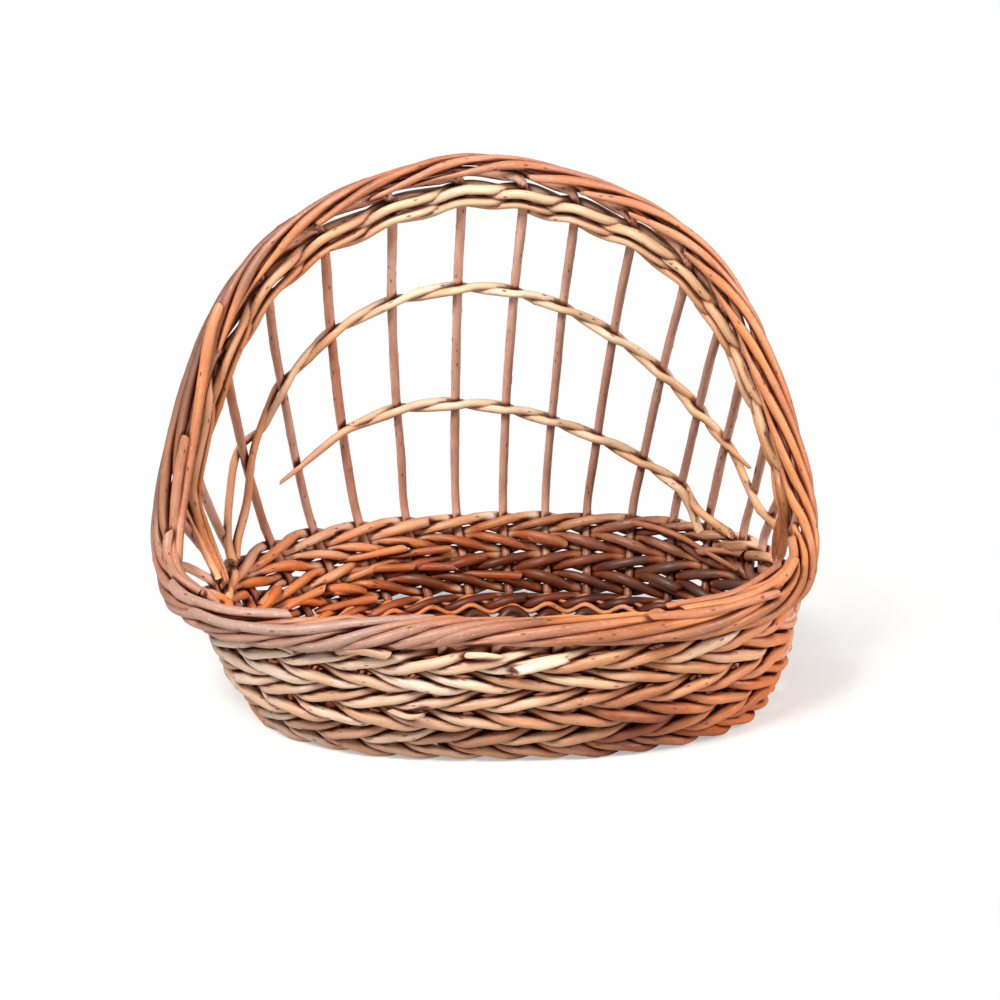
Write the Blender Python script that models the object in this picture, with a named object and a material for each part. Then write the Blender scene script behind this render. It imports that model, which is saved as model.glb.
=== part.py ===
"""Mushroom foraging basket: a low oval willow tub with a tall open hood over its back half.

The base is a woven oval on crossed sticks. Every stake is pushed into the edge of the base,
rises between the woven side rows, and is turned down at its top into a rope border of six strands.
Two fitch rows and two hood rows hold the open stakes of the hood apart.
"""
import functools
import math

import bmesh
import bpy
import numpy as np

# sizes of the base and the side
BASE_LENGTH = 0.282
BASE_DEPTH = 0.180
BASE_THICKNESS = 0.010
WALL_LENGTH = 0.328
WALL_DEPTH = 0.252
WALL_HEIGHT = 0.0745
WALL_BACK_SHIFT = 0.004
WALL_BACK_DROP = 0.0035
SIDE_SWELL = 0.006
BASE_EDGE_INSET = 0.0048

# sizes of the rim, which runs along the front and over the hood
RIM_WIDTH = 0.360
RIM_FRONT_REACH = 0.121
HOOD_REACH = 0.022
HOOD_HEIGHT = 0.303
BASE_SIDE_SHIFT = 0.0065
RIM_SIDE_SHIFT = 0.0075
BORDER_WIDTH = 0.0220
BORDER_HEIGHT = 0.0170
BORDER_SEAT = 0.0012

# rods
STAKE_DIAMETER = 0.0053
WEAVER_DIAMETER = 0.0048
SIDE_WEAVER_DIAMETER = 0.0052
FOOT_LENGTH = 0.022
CROSS_STICK_DIAMETER = 0.0070
LONG_STICK_DIAMETER = 0.0040
CLEARANCE = 0.0003
TWINING_SLACK = 0.0005
WALE_SLACK = 0.0011
STOCK_WELD = 0.00001

# counts and proportions
STAKES = 32
OVAL_POWER = 2.4
BORDER_STRANDS = 6
BURIED_POINTS = 3
HOOD_BOW_SHARE = 0.35
LATTICE_SHARES = (0.0, 0.25, 0.5, 0.75, 1.0)
SWELL_HEIGHT_SHARES = (0.0, 0.45, 1.0)
SWELL_SHARES = (0.0, 1.0, 0.0)
SIDE_ROW_SHARES = (0.083, 0.268, 0.432, 0.594, 0.756, 0.918)
CROSS_STICK_GAPS = (-2.5, -0.5, 0.5, 2.5)
LONG_STICK_GAPS = (7.5, 8.5)
END_REACH = 0.3

# one side rod at every half gap as it goes outside two stakes and inside the third:
# how far out and how far up it lies; three such rods fill a row, each a stake behind the other
WALE_STAKES = 3
WALE_OUT_SHARES = (-1.0, 0.0, 1.0, 1.0, 1.0, 0.0)
WALE_RISE_SHARES = (0.0, 1.08, 0.92, 0.0, -0.92, -1.08)
FIRST_ROW_LIFT_SHARE = 2.0

# half of the rim line from front centre to hood top: across, back and up, as shares
RIM_SHARES = (
    (0.0, 0.0, 0.0), (0.346, 0.011, 0.0), (0.626, 0.085, 0.0), (0.816, 0.24, 0.0),
    (0.915, 0.41, 0.005), (0.962, 0.55, 0.02), (0.985, 0.65, 0.05), (0.99, 0.71, 0.115),
    (0.97, 0.745, 0.205), (0.93, 0.785, 0.335), (0.87, 0.835, 0.49), (0.79, 0.89, 0.645),
    (0.66, 0.932, 0.785), (0.48, 0.968, 0.89), (0.25, 0.992, 0.965), (0.0, 1.0, 1.0),
)

# places of the stakes round the top of the side and round the rim, as shares of each loop,
# counted from the front centre to the right; stakes 10 to 23 carry the hood
WALL_STAKE_SHARES = (
    0.0, 0.033, 0.066, 0.099, 0.131, 0.164, 0.197, 0.229,
    0.262, 0.2965, 0.319, 0.352, 0.379, 0.409, 0.441, 0.470,
    0.499, 0.530, 0.565, 0.599, 0.632, 0.667, 0.710, 0.738,
    0.767, 0.796, 0.825, 0.854, 0.884, 0.913, 0.942, 0.971,
)
RIM_STAKE_SHARES = (
    0.004, 0.034, 0.063, 0.092, 0.122, 0.154, 0.184, 0.205,
    0.225, 0.246, 0.284, 0.321, 0.348, 0.377, 0.413, 0.447,
    0.475, 0.508, 0.546, 0.586, 0.625, 0.669, 0.728, 0.766,
    0.793, 0.817, 0.844, 0.873, 0.899, 0.926, 0.953, 0.979,
)
FIRST_HOOD_STAKE = 9
LAST_HOOD_STAKE = 22

# heights of the fitch rows on the hood stakes they cross, as shares of the open height
UPPER_FITCH_SHARES = (
    0.33, 0.40, 0.50, 0.56, 0.62, 0.67, 0.71,
    0.73, 0.735, 0.73, 0.70, 0.62, 0.45, 0.15,
)
LOWER_FITCH_SHARES = (0.13, 0.19, 0.26, 0.32, 0.36, 0.39, 0.405, 0.41, 0.375, 0.30)
FIRST_LOWER_FITCH_STAKE = 11

# derived sizes
STAKE_RADIUS = STAKE_DIAMETER / 2
WEAVER_RADIUS = WEAVER_DIAMETER / 2
SIDE_WEAVER_RADIUS = SIDE_WEAVER_DIAMETER / 2
FOOT_HEIGHT = BASE_THICKNESS / 2
RIM_FRONT_HEIGHT = WALL_HEIGHT + BORDER_SEAT + BORDER_HEIGHT / 2
ROPE_ACROSS = (BORDER_WIDTH - STAKE_DIAMETER) / 2
ROPE_ALONG = (BORDER_HEIGHT - STAKE_DIAMETER) / 2
BEND_CUT = STAKE_DIAMETER * 0.6
TWINE_OUT = STAKE_RADIUS + WEAVER_RADIUS + CLEARANCE + TWINING_SLACK
TWINE_UP = WEAVER_DIAMETER * 0.6 + CLEARANCE / 2
WALE_OUT = STAKE_RADIUS + SIDE_WEAVER_RADIUS + CLEARANCE + WALE_SLACK
WALE_UP = (SIDE_WEAVER_RADIUS + CLEARANCE / 2) / max(WALE_RISE_SHARES[::2])
HOOD_ROW_PITCH = 2 * (TWINE_UP + WEAVER_RADIUS) + CLEARANCE
FIRST_HOOD_ROW_DROP = BORDER_HEIGHT / 2 + CLEARANCE + TWINE_UP + WEAVER_RADIUS


def clear_scene():
    """Take every object out, so the part is always built from nothing."""
    for item in list(bpy.data.objects):
        bpy.data.objects.remove(item, do_unlink=True)


def collection(name):
    """A collection in the scene that holds one set of objects."""
    group = bpy.data.collections.new(name)
    bpy.context.scene.collection.children.link(group)
    return group


def willow(name, colour):
    """One piece's own willow, a plain Principled material."""
    material = bpy.data.materials.new(name + "_willow")
    material.use_nodes = True
    shader = material.node_tree.nodes["Principled BSDF"]
    shader.inputs["Base Color"].default_value = (*colour, 1.0)
    shader.inputs["Roughness"].default_value = 0.6
    return material


def unit(vector):
    """The vector at length one."""
    return vector / np.linalg.norm(vector)


class Loop:
    """A closed line through space, read by its share of the way round."""

    def __init__(self, points):
        closed = np.vstack([points, points[:1]])
        steps = np.linalg.norm(np.diff(closed, axis=0), axis=1)
        travelled = np.concatenate([[0.0], np.cumsum(steps)])
        self.points = closed
        self.length = travelled[-1]
        self.shares = travelled / travelled[-1]

    def at(self, share):
        """The point at one share of the way round from the front centre."""
        return np.array([np.interp(share % 1.0, self.shares, self.points[:, k]) for k in range(3)])


def oval_loop(length, depth, side_shift, back_shift, height, back_drop):
    """The oval of the stake centres at one height, walked from the front to the right."""
    turn = np.linspace(0.0, 2 * math.pi, 721)[:-1] - math.pi / 2
    across = np.sign(np.cos(turn)) * np.abs(np.cos(turn)) ** (2 / OVAL_POWER)
    back = np.sign(np.sin(turn)) * np.abs(np.sin(turn)) ** (2 / OVAL_POWER)
    level = height - back_drop * (1 + back) / 2
    return Loop(np.stack((side_shift + length / 2 * across, back_shift + depth / 2 * back, level), axis=-1))


def smooth_closed(points, steps):
    """Evenly curved points through a closed row of points."""
    out = []
    for i, start in enumerate(points):
        before, after, beyond = points[i - 1], points[(i + 1) % len(points)], points[(i + 2) % len(points)]
        for t in np.linspace(0.0, 1.0, steps, endpoint=False):
            bend = (2 * before - 5 * start + 4 * after - beyond) * t ** 2
            turn = (3 * start - before - 3 * after + beyond) * t ** 3
            out.append((2 * start + (after - before) * t + bend + turn) / 2)
    return np.array(out)


def rim_loop():
    """The centre line of the border, level along the front and arched over the hood."""
    span = np.array([RIM_WIDTH / 2, RIM_FRONT_REACH + HOOD_REACH, HOOD_HEIGHT - RIM_FRONT_HEIGHT])
    start = np.array([-RIM_SIDE_SHIFT, -RIM_FRONT_REACH, RIM_FRONT_HEIGHT])
    right = [start + span * np.array(row) for row in RIM_SHARES]
    left = [start + span * np.array([-1.0, 1.0, 1.0]) * np.array(row) for row in RIM_SHARES[-2:0:-1]]
    return Loop(smooth_closed(np.array(right + left), 12))


BASE = oval_loop(BASE_LENGTH, BASE_DEPTH, BASE_SIDE_SHIFT, 0.0, FOOT_HEIGHT, 0.0)
WALL = oval_loop(WALL_LENGTH, WALL_DEPTH, 0.0, WALL_BACK_SHIFT, WALL_HEIGHT, WALL_BACK_DROP)
RIM = rim_loop()


def loop_share(place, shares):
    """The share of the loop at a place counted in stakes."""
    return np.interp(place % STAKES, range(STAKES + 1), shares + (1.0 + shares[0],))


def base_point(place):
    """Where a stake leaves the base."""
    return BASE.at(place / STAKES)


def wall_point(place):
    """Where a stake leaves the side rows."""
    return WALL.at(loop_share(place, WALL_STAKE_SHARES))


def rim_point(place):
    """Where a stake meets the centre line of the border."""
    return RIM.at(loop_share(place, RIM_STAKE_SHARES))


def lattice_point(place, share):
    """A point on the open run of a stake, from the side rows to the rim."""
    low, top = wall_point(place), rim_point(place)
    reach = HOOD_BOW_SHARE * np.linalg.norm(top - low)
    bow = low + reach * unit(top - base_point(place))
    knots = [low * (1 - s) ** 2 + 2 * bow * s * (1 - s) + top * s ** 2 for s in LATTICE_SHARES]
    return np.array([np.interp(share, LATTICE_SHARES, [knot[k] for knot in knots]) for k in range(3)])


def inward(place):
    """The level direction from a stake's foot to the middle of the base."""
    along = base_point(place + 0.25) - base_point(place - 0.25)
    return unit(np.array([-along[1], along[0], 0.0]))


def side_point(place, share):
    """The middle of the side's thickness at one share of its height, a little swelled outward."""
    low, top = base_point(place), wall_point(place)
    climb = (top[2] * share - FOOT_HEIGHT) / (top[2] - FOOT_HEIGHT)
    swell = SIDE_SWELL * np.interp(share, SWELL_HEIGHT_SHARES, SWELL_SHARES)
    return low + (top - low) * climb - inward(place) * swell


class RimFrame:
    """The directions at one place of the rim: along it, down the stake, and outward."""

    def __init__(self, place):
        self.centre = rim_point(place)
        self.along = unit(rim_point(place + 0.25) - rim_point(place - 0.25))
        self.down_stake = unit(lattice_point(place, LATTICE_SHARES[-2]) - self.centre)
        self.lean = float(self.down_stake @ self.along)
        self.down = unit(self.down_stake - self.lean * self.along)
        self.out = np.cross(self.down, self.along)
        self.fall = float(self.down_stake @ self.down)
        self.step = np.linalg.norm(rim_point(place + 0.5) - rim_point(place - 0.5))

    def below(self, drop):
        """The point on the stake a square distance below the centre of the border."""
        return self.centre + self.down_stake * drop / self.fall


def strand_point(place, stake):
    """A point on a stake's turned-down top, wound round the border's centre line."""
    frame = RimFrame(place)
    turn = (place - stake) * 2 * math.pi / BORDER_STRANDS
    return frame.centre + ROPE_ALONG * math.cos(turn) * frame.down + ROPE_ACROSS * math.sin(turn) * frame.out


def entry_place(stake):
    """Where the stake reaches the underside of the border."""
    frame = RimFrame(stake)
    return stake + frame.lean * ROPE_ALONG / frame.fall / frame.step


def foot_path(stake):
    """The stake from its end inside the base to the fullest part of the side."""
    return [
        base_point(stake) + inward(stake) * FOOT_LENGTH,
        side_point(stake, FOOT_HEIGHT / wall_point(stake)[2]),
        side_point(stake, SWELL_HEIGHT_SHARES[1]),
    ]


def tail_path(stake):
    """The stake's top, turned into the border and laid along it as one of its strands."""
    frame = RimFrame(stake)
    first = entry_place(stake) + BEND_CUT * (1 + frame.lean / frame.fall) / frame.step
    last = entry_place(stake + BORDER_STRANDS) - 2 * STAKE_DIAMETER / frame.step
    between = [stake + k / 2 for k in range(1, 2 * BORDER_STRANDS)]
    places = [first] + [p for p in between if first + 0.2 < p < last - 0.1] + [last]
    return [strand_point(place, stake) for place in places]


def stake_path(stake):
    """The whole stake from foot to tip."""
    frame = RimFrame(stake)
    bend = frame.below(ROPE_ALONG + BEND_CUT)
    open_run = [lattice_point(stake, share) for share in LATTICE_SHARES[:-1]]
    kept = [p for p in open_run if np.linalg.norm(p - bend) > 3 * STAKE_DIAMETER]
    return foot_path(stake) + kept + [bend] + tail_path(stake)


def rod(name, points, diameter, group, colour, closed=False):
    """A round rod along a row of points, with flat cut ends or closed on itself."""
    line = bpy.data.curves.new(name, "CURVE")
    line.dimensions = "3D"
    line.bevel_depth = diameter / 2
    line.bevel_resolution = 1
    line.use_fill_caps = True
    spline = line.splines.new("POLY")
    spline.points.add(len(points) - 1)
    for knot, point in zip(spline.points, points):
        knot.co = (*point, 1.0)
    spline.use_cyclic_u = closed
    item = bpy.data.objects.new(name, line)
    item.data.materials.append(willow(name, colour))
    group.objects.link(item)
    return item


def solid(name, mesh, group, colour):
    """An object for a finished mesh."""
    item = bpy.data.objects.new(name, mesh)
    item.data.materials.append(willow(name, colour))
    group.objects.link(item)
    return item


def rods_mesh(name, paths, diameter, group):
    """Several rods as one closed mesh, for cutting or for being cut."""
    gathered = bmesh.new()
    for points in paths:
        item = rod(name, points, diameter, group, (0.5, 0.5, 0.5))
        mesh = item.to_mesh()
        gathered.from_mesh(mesh)
        item.to_mesh_clear()
        bpy.data.objects.remove(item, do_unlink=True)
    bmesh.ops.remove_doubles(gathered, verts=gathered.verts, dist=STOCK_WELD)
    mesh = bpy.data.meshes.new(name)
    gathered.to_mesh(mesh)
    gathered.free()
    return mesh


def cutter(name, paths, diameter, group):
    """Round tunnels along several rows of points, as one closed cutting body."""
    item = bpy.data.objects.new(name, rods_mesh(name, paths, diameter, group))
    group.objects.link(item)
    item.hide_render = True
    item.display_type = "WIRE"
    return item


def cut(item, tool):
    """Cut one body with another."""
    change = item.modifiers.new("cut_" + tool.name, "BOOLEAN")
    change.operation = "DIFFERENCE"
    change.solver = "EXACT"
    change.object = tool


@functools.cache
def stake_crossing(stake, height):
    """Where a stake passes one height on its way up, and the direction it has there."""
    path = stake_path(stake)
    low, high = next(pair for pair in zip(path, path[1:]) if pair[0][2] < height <= pair[1][2])
    return low + (high - low) * (height - low[2]) / (high[2] - low[2]), unit(high - low)


def row_middle(place, share):
    """The middle of a side row at a stake or midway between two, and the way up the stakes there."""
    if place % 1 == 0:
        return stake_crossing(int(place) % STAKES, share * wall_point(place)[2])
    (before, climb), (after, next_climb) = (row_middle(place + step, share) for step in (-0.5, 0.5))
    bulge = side_point(place, share) - (side_point(place - 0.5, share) + side_point(place + 0.5, share)) / 2
    return (before + after) / 2 + bulge, unit(climb + next_climb)


def side_row_path(row):
    """A side row as one rod that goes three times round, outside two stakes and inside the third."""
    share = SIDE_ROW_SHARES[row]
    points = []
    for half in range(2 * WALE_STAKES * STAKES):
        place = half / 2
        step = (half + 2 * row) % len(WALE_OUT_SHARES)
        swing = WALE_OUT * WALE_OUT_SHARES[step]
        rise = WALE_UP * WALE_RISE_SHARES[step] * (-1) ** row
        middle, climb = row_middle(place, share)
        along = unit(row_middle(place + 0.5, share)[0] - row_middle(place - 0.5, share)[0])
        out = unit(np.cross(along, climb))
        up = np.cross(out, along)
        if row == 0:
            level = -inward(place)
            swing /= float(out @ level)
            out, up = level, up / up[2]
            if WALE_OUT_SHARES[step] < 0:
                rise = WALE_UP * FIRST_ROW_LIFT_SHARE
        points.append(middle + swing * out + rise * up)
    return points


def base_edge(place, height):
    """The edge of the woven base at one height, just inside the lowest side row."""
    edge = base_point(place) + inward(place) * BASE_EDGE_INSET
    return np.array([edge[0], edge[1], height])


def base_mesh(name):
    """The woven base as a flat oval plate standing on its underside."""
    body = bmesh.new()
    places = [stake + 0.5 for stake in range(STAKES)]
    low = [body.verts.new(base_edge(place, 0.0)) for place in places]
    high = [body.verts.new(base_edge(place, BASE_THICKNESS)) for place in places]
    body.faces.new(low)
    body.faces.new(high)
    for a in range(STAKES):
        body.faces.new((low[a - 1], low[a], high[a], high[a - 1]))
    bmesh.ops.recalc_face_normals(body, faces=body.faces)
    mesh = bpy.data.meshes.new(name)
    body.to_mesh(mesh)
    body.free()
    return mesh


def foot_tip(stake):
    """The end of a stake inside the base."""
    return foot_path(stake)[0]


def stick_path(gap, axis, reach):
    """A straight base stick that lies between two feet and stops short of the edge at both ends."""
    middle = (foot_tip(gap - 0.5) + foot_tip(gap + 0.5)) / 2
    centre = np.array([BASE_SIDE_SHIFT, 0.0, FOOT_HEIGHT])
    edge = base_edge(gap, FOOT_HEIGHT)
    start = np.array([middle[0], middle[1], FOOT_HEIGHT])
    start[axis] = edge[axis] + reach * np.sign(edge[axis] - centre[axis])
    end = start.copy()
    end[axis] = 2 * centre[axis] - start[axis]
    return [start, end]


def hood_row_place(drop):
    """The line of a hood row, a set distance below the border."""
    def centre(place):
        frame = RimFrame(place)
        return frame.below(drop), -frame.down, frame.out
    return centre


def fitch_place(first, shares):
    """The line of a fitch row, at its own height on every stake."""
    stakes = range(first, first + len(shares))

    def middle(place):
        return lattice_point(place, np.interp(place, stakes, shares))

    def centre(place):
        share = np.interp(place, stakes, shares)
        rise = lattice_point(place, share + 0.01) - lattice_point(place, share - 0.01)
        along = middle(place + 0.2) - middle(place - 0.2)
        out = unit(np.cross(along, rise))
        return middle(place), unit(np.cross(out, along)), out
    return centre


def twined_strand(centre, first, last, side):
    """One of two strands twined round the stakes: outside one stake, inside the next."""
    knots = np.arange(2 * first - 1, 2 * last + 2) / 2
    out_wave = side * np.cos(math.pi * knots)
    up_wave = side * np.sin(math.pi * knots)
    points = []
    for place in [first - END_REACH, *knots[1:-1], last + END_REACH]:
        middle, up, out = centre(place)
        swing = np.interp(place, knots, out_wave) * TWINE_OUT
        rise = np.interp(place, knots, up_wave) * TWINE_UP
        points.append(middle + swing * out + rise * up)
    return points


def main():
    """Build every piece of the basket."""
    clear_scene()
    group = collection("mushroom_foraging_basket")
    tools = collection("cutters")

    for stake in range(STAKES):
        rod(f"stake_{stake + 1:02d}", stake_path(stake), STAKE_DIAMETER, group, (0.42, 0.22, 0.13))
    starts = [stake_path(stake)[:BURIED_POINTS] for stake in range(STAKES)]
    stake_tunnels = cutter("stake_tunnels", starts, STAKE_DIAMETER + 2 * CLEARANCE, tools)

    for row in range(len(SIDE_ROW_SHARES)):
        path = side_row_path(row)
        rod(f"side_row_{row + 1}", path, SIDE_WEAVER_DIAMETER, group, (0.55, 0.42, 0.24), closed=True)

    past_edge = CROSS_STICK_DIAMETER
    long_paths = [stick_path(gap, 0, -LONG_STICK_DIAMETER / 2) for gap in LONG_STICK_GAPS]
    long_tunnel_paths = [stick_path(gap, 0, past_edge) for gap in LONG_STICK_GAPS]
    long_tunnels = cutter("long_stick_tunnels", long_tunnel_paths, LONG_STICK_DIAMETER + 2 * CLEARANCE, tools)
    for number, path in enumerate(long_paths, 1):
        rod(f"long_stick_{number}", path, LONG_STICK_DIAMETER, group, (0.48, 0.31, 0.18))

    cross_tunnel_paths = [stick_path(gap, 1, past_edge) for gap in CROSS_STICK_GAPS]
    cross_tunnels = cutter("cross_stick_tunnels", cross_tunnel_paths, CROSS_STICK_DIAMETER + 2 * CLEARANCE, tools)
    for number, gap in enumerate(CROSS_STICK_GAPS, 1):
        name = f"cross_stick_{number}"
        path = stick_path(gap, 1, -CROSS_STICK_DIAMETER / 2)
        item = solid(name, rods_mesh(name, [path], CROSS_STICK_DIAMETER, tools), group, (0.46, 0.29, 0.17))
        cut(item, long_tunnels)

    base = solid("base_weave", base_mesh("base_weave"), group, (0.45, 0.28, 0.15))
    cut(base, stake_tunnels)
    cut(base, cross_tunnels)
    cut(base, long_tunnels)

    for row in range(2):
        centre = hood_row_place(FIRST_HOOD_ROW_DROP + row * HOOD_ROW_PITCH)
        for number, side in ((1, 1), (2, -1)):
            path = twined_strand(centre, FIRST_HOOD_STAKE, LAST_HOOD_STAKE, side)
            rod(f"hood_row_{row + 1}_rod_{number}", path, WEAVER_DIAMETER, group, (0.72, 0.60, 0.38))

    last_lower = FIRST_LOWER_FITCH_STAKE + len(LOWER_FITCH_SHARES) - 1
    for name, first, last, shares in (
        ("upper_fitch", FIRST_HOOD_STAKE, LAST_HOOD_STAKE, UPPER_FITCH_SHARES),
        ("lower_fitch", FIRST_LOWER_FITCH_STAKE, last_lower, LOWER_FITCH_SHARES),
    ):
        centre = fitch_place(first, shares)
        for number, side in ((1, 1), (2, -1)):
            path = twined_strand(centre, first, last, side)
            rod(f"{name}_rod_{number}", path, WEAVER_DIAMETER, group, (0.74, 0.62, 0.40))


main()
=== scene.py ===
"""Mushroom foraging basket of brown and white willow: every rod of the basket as its own woven piece."""
import math

import bpy
import numpy as np
from mathutils import Matrix, Vector, kdtree


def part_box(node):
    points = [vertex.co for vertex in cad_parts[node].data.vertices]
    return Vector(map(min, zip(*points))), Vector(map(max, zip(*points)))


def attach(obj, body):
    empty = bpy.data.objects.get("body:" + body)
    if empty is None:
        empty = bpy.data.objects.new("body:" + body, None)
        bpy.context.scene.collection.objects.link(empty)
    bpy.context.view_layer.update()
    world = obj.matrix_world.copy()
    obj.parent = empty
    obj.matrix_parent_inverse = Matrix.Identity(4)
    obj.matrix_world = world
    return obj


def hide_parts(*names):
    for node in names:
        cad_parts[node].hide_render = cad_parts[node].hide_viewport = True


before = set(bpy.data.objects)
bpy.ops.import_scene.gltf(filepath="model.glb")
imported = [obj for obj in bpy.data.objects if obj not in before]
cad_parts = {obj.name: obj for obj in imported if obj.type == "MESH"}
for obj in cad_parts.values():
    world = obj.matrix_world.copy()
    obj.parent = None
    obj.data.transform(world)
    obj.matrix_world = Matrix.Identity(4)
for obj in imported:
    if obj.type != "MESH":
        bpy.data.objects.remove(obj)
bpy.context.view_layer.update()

# The lines that the rods follow, in metres: the same base, side and rim as the solids have.
BASE_LENGTH = 0.282
BASE_DEPTH = 0.180
BASE_SIDE_SHIFT = 0.0065
FOOT_HEIGHT = 0.005
WALL_LENGTH = 0.328
WALL_DEPTH = 0.252
WALL_HEIGHT = 0.0745
WALL_BACK_SHIFT = 0.004
WALL_BACK_DROP = 0.0035
SIDE_SWELL = 0.006
RIM_WIDTH = 0.360
RIM_FRONT_REACH = 0.121
RIM_FRONT_HEIGHT = 0.0842
RIM_SIDE_SHIFT = 0.0075
HOOD_REACH = 0.022
HOOD_HEIGHT = 0.303
STAKES = 32
OVAL_POWER = 2.4
HOOD_BOW_SHARE = 0.35
SWELL_SHARE = 0.45
SIDE_ROW_SHARES = (0.083, 0.268, 0.432, 0.594, 0.756, 0.918)
RIM_SHARES = (
    (0.0, 0.0, 0.0), (0.346, 0.011, 0.0), (0.626, 0.085, 0.0), (0.816, 0.24, 0.0),
    (0.915, 0.41, 0.005), (0.962, 0.55, 0.02), (0.985, 0.65, 0.05), (0.99, 0.71, 0.115),
    (0.97, 0.745, 0.205), (0.93, 0.785, 0.335), (0.87, 0.835, 0.49), (0.79, 0.89, 0.645),
    (0.66, 0.932, 0.785), (0.48, 0.968, 0.89), (0.25, 0.992, 0.965), (0.0, 1.0, 1.0),
)
WALL_STAKE_SHARES = (
    0.0, 0.033, 0.066, 0.099, 0.131, 0.164, 0.197, 0.229,
    0.262, 0.2965, 0.319, 0.352, 0.379, 0.409, 0.441, 0.470,
    0.499, 0.530, 0.565, 0.599, 0.632, 0.667, 0.710, 0.738,
    0.767, 0.796, 0.825, 0.854, 0.884, 0.913, 0.942, 0.971,
)
RIM_STAKE_SHARES = (
    0.004, 0.034, 0.063, 0.092, 0.122, 0.154, 0.184, 0.205,
    0.225, 0.246, 0.284, 0.321, 0.348, 0.377, 0.413, 0.447,
    0.475, 0.508, 0.546, 0.586, 0.625, 0.669, 0.728, 0.766,
    0.793, 0.817, 0.844, 0.873, 0.899, 0.926, 0.953, 0.979,
)
UPPER_FITCH_SHARES = (
    0.33, 0.40, 0.50, 0.56, 0.62, 0.67, 0.71,
    0.73, 0.735, 0.73, 0.70, 0.62, 0.45, 0.15,
)
LOWER_FITCH_SHARES = (0.13, 0.19, 0.26, 0.32, 0.36, 0.39, 0.405, 0.41, 0.375, 0.30)
FIRST_HOOD_STAKE, LAST_HOOD_STAKE = 9, 22
FIRST_LOWER_FITCH_STAKE = 11

# Rods. Half of a rod's thickness is its radius.
STAKE_RADIUS = 0.00265
STAKE_FOOT = 0.022
BEND_DROP = 0.0032
ROPE_ACROSS = 0.00835
ROPE_ALONG = 0.00585
BORDER_TURN_PLACES = (0.0, 1.0, 2.0, 3.0, 4.0, 5.0, 6.0)
BORDER_TURN_DEGREES = (0.0, 45.0, 89.0, 134.0, 181.0, 236.0, 300.0)
HOOD_WEAVER_RADIUS = 0.00255
FITCH_RADIUS = 0.00245
# how many places before and after a stake a fitch rod bends round it
FITCH_HUG = 0.22
HOOD_ROW_DROPS = (0.0142, 0.0220)
RING_STEP = 0.0026
SIDES = 10
# bud scars: how far apart, how long, and how much of a rod's tip has none
BUD_GAP = 0.034
BUD_REACH = 0.0017
BUD_END = 0.006

# Painted shade darkens a rod's skin where another rod's middle lies within the reach of a look out from the
# rod.
CREVICE_LOOK = 0.0058
CREVICE_REACH = 0.0054
CREVICE_FADE = 0.0028


# Lines of the basket

def held(values):
    """Values held between none and one."""
    return np.clip(values, 0.0, 1.0)


def unit(vectors):
    """Vectors at length one."""
    return vectors / np.linalg.norm(vectors, axis=-1, keepdims=True)


def closed_line(points):
    """A closed line with the share of the way round at each of its points."""
    closed = np.vstack([points, points[:1]])
    travelled = np.concatenate([[0.0], np.cumsum(np.linalg.norm(np.diff(closed, axis=0), axis=1))])
    return closed, travelled / travelled[-1]


def read_line(line, share):
    """Points of a closed line at shares of the way round from the front centre."""
    closed, shares = line
    return np.stack([np.interp(np.asarray(share) % 1.0, shares, closed[:, k]) for k in range(3)], axis=-1)


def superellipse(turn):
    """Across and back shares of an oval at turns counted from the right."""
    return (np.sign(wave(turn)) * np.abs(wave(turn)) ** (2 / OVAL_POWER) for wave in (np.cos, np.sin))


def oval(length, depth, side_shift, back_shift, height, back_drop):
    """An oval walked from the front to the right."""
    across, back = superellipse(np.linspace(0.0, 2 * math.pi, 721)[:-1] - math.pi / 2)
    level = height - back_drop * (1 + back) / 2
    points = (side_shift + length / 2 * across, back_shift + depth / 2 * back, level)
    return closed_line(np.stack(points, -1))


def bend_through(a, b, c, d, t):
    """A point between b and c on the even bend that passes a, b, c and d."""
    second, third = 2 * a - 5 * b + 4 * c - d, 3 * b - a - 3 * c + d
    return (2 * b + (c - a) * t + second * t ** 2 + third * t ** 3) / 2


def curve_through(points, steps, closed=False):
    """Evenly bent points through a row of points."""
    points = np.asarray(points, float)
    if closed:
        padded = np.vstack([points[-1:], points, points[:2]])
    else:
        padded = np.vstack([2 * points[0] - points[1], points, 2 * points[-1] - points[-2]])
    shares = np.linspace(0.0, 1.0, steps, endpoint=False)
    fours = zip(padded, padded[1:], padded[2:], padded[3:])
    made = [bend_through(*four, t) for four in fours for t in shares]
    return np.array(made) if closed else np.array(made + [points[-1]])


def rim_line():
    """The centre line of the border, level along the front and arched over the hood."""
    span = np.array([RIM_WIDTH / 2, RIM_FRONT_REACH + HOOD_REACH, HOOD_HEIGHT - RIM_FRONT_HEIGHT])
    start = np.array([-RIM_SIDE_SHIFT, -RIM_FRONT_REACH, RIM_FRONT_HEIGHT])
    right = [start + span * np.array(row) for row in RIM_SHARES]
    left = [start + span * np.array([-1.0, 1.0, 1.0]) * np.array(row) for row in RIM_SHARES[-2:0:-1]]
    return closed_line(curve_through(right + left, 12, closed=True))


BASE = oval(BASE_LENGTH, BASE_DEPTH, BASE_SIDE_SHIFT, 0.0, FOOT_HEIGHT, 0.0)
WALL = oval(WALL_LENGTH, WALL_DEPTH, 0.0, WALL_BACK_SHIFT, WALL_HEIGHT, WALL_BACK_DROP)
RIM = rim_line()


def loop_share(place, shares):
    """Shares of a loop at places counted in stakes."""
    return np.interp(np.asarray(place, float) % STAKES, range(STAKES + 1), shares + (1.0 + shares[0],))


def base_point(place):
    """Where stakes leave the base."""
    return read_line(BASE, np.asarray(place, float) / STAKES)


def wall_point(place):
    """Where stakes leave the side rows."""
    return read_line(WALL, loop_share(place, WALL_STAKE_SHARES))


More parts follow.
